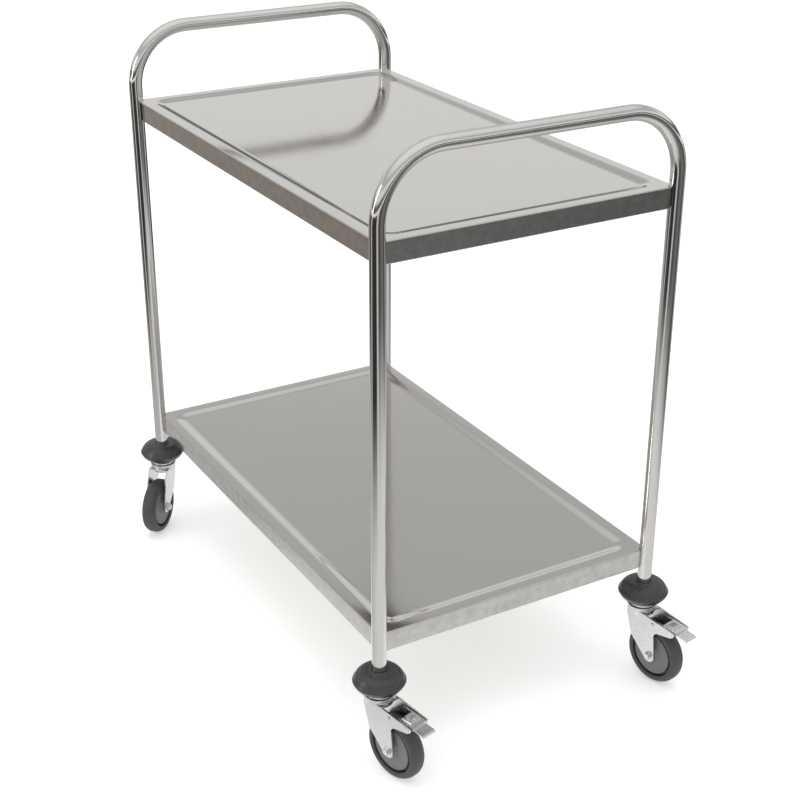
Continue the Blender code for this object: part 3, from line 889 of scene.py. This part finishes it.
def pedal():
    """A pressed pedal: lugs to its pin, a raised boss round a window, and a tongue for the foot."""
    plate, tongue_half, top = 0.0140, 0.0122, 0.1200
    eye = arc(PEDAL_PIN, 0.0040, 300, 90, 10)
    upper = [(PEDAL_FRONT, 0.1144), (0.0790, 0.1130), (0.0830, 0.1124), (0.0836, 0.1098)]
    tongue = [(0.1000, 0.1084), (0.1032, 0.1070), (0.1034, 0.1052), (0.1000, 0.1060)]
    under = [(0.0850, 0.1085), (0.0450, 0.1085)]
    body = prism([*upper, *tongue, *under, *eye], plate)
    beside = [(0.0838, 0.1000), (0.1100, 0.1000), (0.1100, top), (0.0838, top)]
    for start, end in ((tongue_half, 0.0200), (-0.0200, -tongue_half)):
        body = combined(body, prism(beside, end, "Y", start), "DIFFERENCE")
    round_edges(body, lambda v: v.co.x > 0.1030, 0.0009, 2)
    body = combined(body, block(0.0300, PEDAL_FRONT, 0.1000, top, 0.0118), "DIFFERENCE")
    boss = block(0.0570, 0.0750, 0.1100, 0.1152, 0.0098)
    round_edges(boss, lambda v: v.co.z > 0.1151, 0.0008, 3)
    body = combined(body, boss, "UNION")
    window = block(0.0600, 0.0715, 0.1100, top, 0.0070)
    body = combined(body, window, "DIFFERENCE")
    x, z = PEDAL_PIN
    for side in (1, -1):
        pin = rod(0.0020, 0.0120, 0.0200, 20, {2: 0.0006})
        seat = Matrix.Translation((x, 0, z)) @ Matrix.Rotation(math.radians(90 * side), 4, "X")
        body = combined(body, moved(pin, seat), "UNION")
    return body


def brake_shoe():
    """A moulded shoe whose face follows the tyre."""
    reach, axle = trail()
    gap, back = 0.0035, 0.1082
    radius = axle + gap
    start, end = (math.degrees(math.acos((x - reach) / radius)) for x in SHOE_ENDS)
    face = arc((reach, axle), radius, start, end, 10)
    return prism([*face, (SHOE_ENDS[1], back), (SHOE_ENDS[0], back)], 0.0110)


# ---------------------------------------------------------------- kept CAD nodes


class CART_OT_kept_nodes(bpy.types.Operator):
    """Gives the CAD nodes that stay in sight their materials"""

    bl_idname = "cart.kept_nodes"
    bl_label = "Stiffeners, Stems and Plugs"

    def execute(self, context):
        finishes = {
            "_stiffener": "sheet",
            "_castor_stem": "zinc",
            "_axle_sleeve": "zinc",
            "_tube_plug": "nylon",
        }
        for name, obj in frame["nodes"].items():
            for ending, finish in finishes.items():
                if name.endswith(ending):
                    obj.data.materials.clear()
                    obj.data.materials.append(material_of(finish))
        return {"FINISHED"}


# ---------------------------------------------------------------- studio


def panel_light(name, place, aim, size, power, mirrored=False):
    """A soft rectangular lamp that faces a point."""
    lamp = bpy.data.lights.new(name, "AREA")
    lamp.shape = "RECTANGLE"
    lamp.size, lamp.size_y = size
    lamp.energy = power
    obj = bpy.data.objects.new(name, lamp)
    bpy.context.scene.collection.objects.link(obj)
    obj.location = place
    obj.rotation_euler = (Vector(aim) - Vector(place)).to_track_quat("-Z", "Y").to_euler()
    obj.visible_camera = False
    obj.visible_glossy = mirrored


def stage_disc(name, radius, height, material):
    """A round sheet that lies level, for the stage."""
    bm = bmesh.new()
    bmesh.ops.create_circle(bm, cap_ends=True, radius=radius, segments=96)
    mesh = bpy.data.meshes.new(name)
    bm.to_mesh(mesh)
    bm.free()
    mesh.materials.append(material)
    obj = bpy.data.objects.new(name, mesh)
    obj.location.z = height
    bpy.context.scene.collection.objects.link(obj)
    return obj


class CART_OT_studio(bpy.types.Operator):
    """Sets the floor, the lights, the dark cards that polished steel reflects, and the camera"""

    bl_idname = "cart.studio"
    bl_label = "Studio"

    def execute(self, context):
        scene = context.scene
        floor = stage_disc("floor", 25, -0.0002, material_of("floor"))
        dark_card()
        lit_world(scene)
        panel_light("overhead", (0.3, -0.2, 3.2), (0, 0, 0.5), (2.6, 1.8), 22)
        panel_light("front_fill", (2.6, -3.0, 2.2), (0, 0, 0.5), (1.6, 1.6), 12)
        panel_light("side_strip", (-0.6, -2.9, 1.5), (0, 0, 0.3), (0.25, 1.6), 9, mirrored=True)
        place_camera(scene)
        scene.view_settings.view_transform = "Standard"
        return {"FINISHED"}


# Grey cards stood round the cart: (share of a full turn from -X, linear grey or RGB)
CARDS = (
    (0.00, 0.36),
    (0.05, (0.38, 0.34, 0.31)),
    (0.11, (0.33, 0.295, 0.265)),
    (0.15, 0.04),
    (0.19, 0.06),
    (0.215, 0.85),
    (0.25, 0.05),
    (0.38, 0.03),
    (0.42, 0.90),
    (0.455, 0.06),
    (0.50, 0.10),
    (0.56, 0.21),
    (0.63, 0.13),
    (0.67, 0.03),
    (0.735, 0.75),
    (0.78, 0.04),
    (0.90, 0.03),
    (0.945, 0.80),
    (1.00, 0.36),
)
# The grey floor beside the cart, from its middle to the braked end: (share of the way, level)
NEAR_FLOOR = ((0.0, 0.60), (1.0, 0.86))
# What polished steel sees above the floor: (sine of the elevation, level)
ROOM = (
    (0.0, 0.10),
    (0.09, 0.18),
    (0.17, 0.87),
    (0.34, 0.87),
    (0.43, 0.62),
    (0.58, 0.56),
    (0.70, 0.80),
    (0.85, 0.95),
    (1.0, 1.0),
)


def dark_card():
    """A grey floor with grey cards further out, which only reflections see."""
    material = bpy.data.materials.new("dark card")
    material.use_nodes = True
    tree = material.node_tree
    tree.nodes.clear()
    place = add_node(tree, "ShaderNodeTexCoord").outputs["Object"]
    # Distances are stretched across the cart, so that the bands run round it in ovals
    stretch = {0: place, 1: (1, 1.5, 1)}
    oval = add_node(tree, "ShaderNodeVectorMath", {"operation": "MULTIPLY"}, stretch).outputs["Vector"]
    distance = add_node(tree, "ShaderNodeVectorMath", {"operation": "LENGTH"}, {0: oval}).outputs["Value"]
    parts = add_node(tree, "ShaderNodeSeparateXYZ", None, {"Vector": place}).outputs
    angle = add_node(tree, "ShaderNodeMath", {"operation": "ARCTAN2"}, {0: parts["Y"], 1: parts["X"]})
    turn = eased(tree, angle.outputs["Value"], -math.pi, math.pi, "LINEAR")
    far = add_node(tree, "ShaderNodeEmission", None, {"Color": ramp(tree, turn, CARDS)})
    side = ramp(tree, eased(tree, parts["X"], -0.1, 0.7), NEAR_FLOOR)
    near = add_node(tree, "ShaderNodeEmission", None, {"Color": side})
    clear = add_node(tree, "ShaderNodeBsdfTransparent")
    outwards = {0: eased(tree, distance, 1.0, 2.3), 1: near.outputs["Emission"], 2: far.outputs["Emission"]}
    glow = add_node(tree, "ShaderNodeMixShader", None, outwards).outputs["Shader"]
    opening = {0: eased(tree, distance, 0.40, 0.72), 1: clear.outputs["BSDF"], 2: glow}
    both = add_node(tree, "ShaderNodeMixShader", None, opening).outputs["Shader"]
    add_node(tree, "ShaderNodeOutputMaterial", None, {"Surface": both})
    card = stage_disc("dark_card", 9, 0.0006, material)
    for ray in ("camera", "diffuse", "transmission", "shadow"):
        setattr(card, f"visible_{ray}", False)


def lit_world(scene):
    """A white studio to the camera. Polished steel sees a darker horizon and a grey band overhead."""
    world = bpy.data.worlds.new("studio")
    world.use_nodes = True
    scene.world = world
    tree = world.node_tree
    place = add_node(tree, "ShaderNodeTexCoord").outputs["Generated"]
    height = add_node(tree, "ShaderNodeSeparateXYZ", None, {"Vector": place}).outputs["Z"]
    seen = add_node(tree, "ShaderNodeLightPath").outputs["Is Camera Ray"]
    level = add_node(tree, "ShaderNodeMath", {"operation": "MAXIMUM"}, {0: ramp(tree, height, ROOM), 1: seen})
    tree.links.new(level.outputs["Value"], tree.nodes["Background"].inputs["Color"])


def place_camera(scene):
    """The camera, at the side of the braked end and looking down on the shelves."""
    place = (1.9514, -1.1014, 1.4456)
    azimuth, elevation, roll = (math.radians(a) for a in (59.93, 25.37, 0.13))
    data = bpy.data.cameras.new("camera")
    data.sensor_width = 36
    data.lens = 67.95
    camera = bpy.data.objects.new("camera", data)
    scene.collection.objects.link(camera)
    turn = Matrix.Rotation(azimuth, 4, "Z") @ Matrix.Rotation(math.pi / 2 - elevation, 4, "X")
    camera.matrix_world = Matrix.Translation(place) @ turn @ Matrix.Rotation(roll, 4, "Z")
    scene.camera = camera


# ---------------------------------------------------------------- add-on


OPERATORS = (
    CART_OT_tube_frames,
    CART_OT_shelves,
    CART_OT_shelf_bolts,
    CART_OT_bumpers,
    CART_OT_swivel_caps,
    CART_OT_forks,
    CART_OT_axles,
    CART_OT_wheels,
    CART_OT_brakes,
    CART_OT_kept_nodes,
    CART_OT_studio,
)


class CART_PT_panel(bpy.types.Panel):
    """Lists the cart's sizes, colours and pieces"""

    bl_idname = "CART_PT_panel"
    bl_label = "Instrument Cart"
    bl_space_type = "VIEW_3D"
    bl_region_type = "UI"
    bl_category = "Cart"

    def draw(self, context):
        for group in (context.scene.cart_sizes, context.scene.cart_colours):
            for name in group.__annotations__:
                self.layout.prop(group, name)
        for operator in OPERATORS:
            self.layout.operator(operator.bl_idname)


CLASSES = (CartSizes, CartColours, *OPERATORS, CART_PT_panel)


def register():
    for cls in CLASSES:
        bpy.utils.register_class(cls)
    bpy.types.Scene.cart_sizes = PointerProperty(type=CartSizes)
    bpy.types.Scene.cart_colours = PointerProperty(type=CartColours)


def unregister():
    del bpy.types.Scene.cart_colours
    del bpy.types.Scene.cart_sizes
    for cls in reversed(CLASSES):
        bpy.utils.unregister_class(cls)


def main():
    """Builds every piece in order."""
    register()
    for operator in OPERATORS:
        group, name = operator.bl_idname.split(".")
        getattr(getattr(bpy.ops, group), name)()


if __name__ == "__main__":
    main()
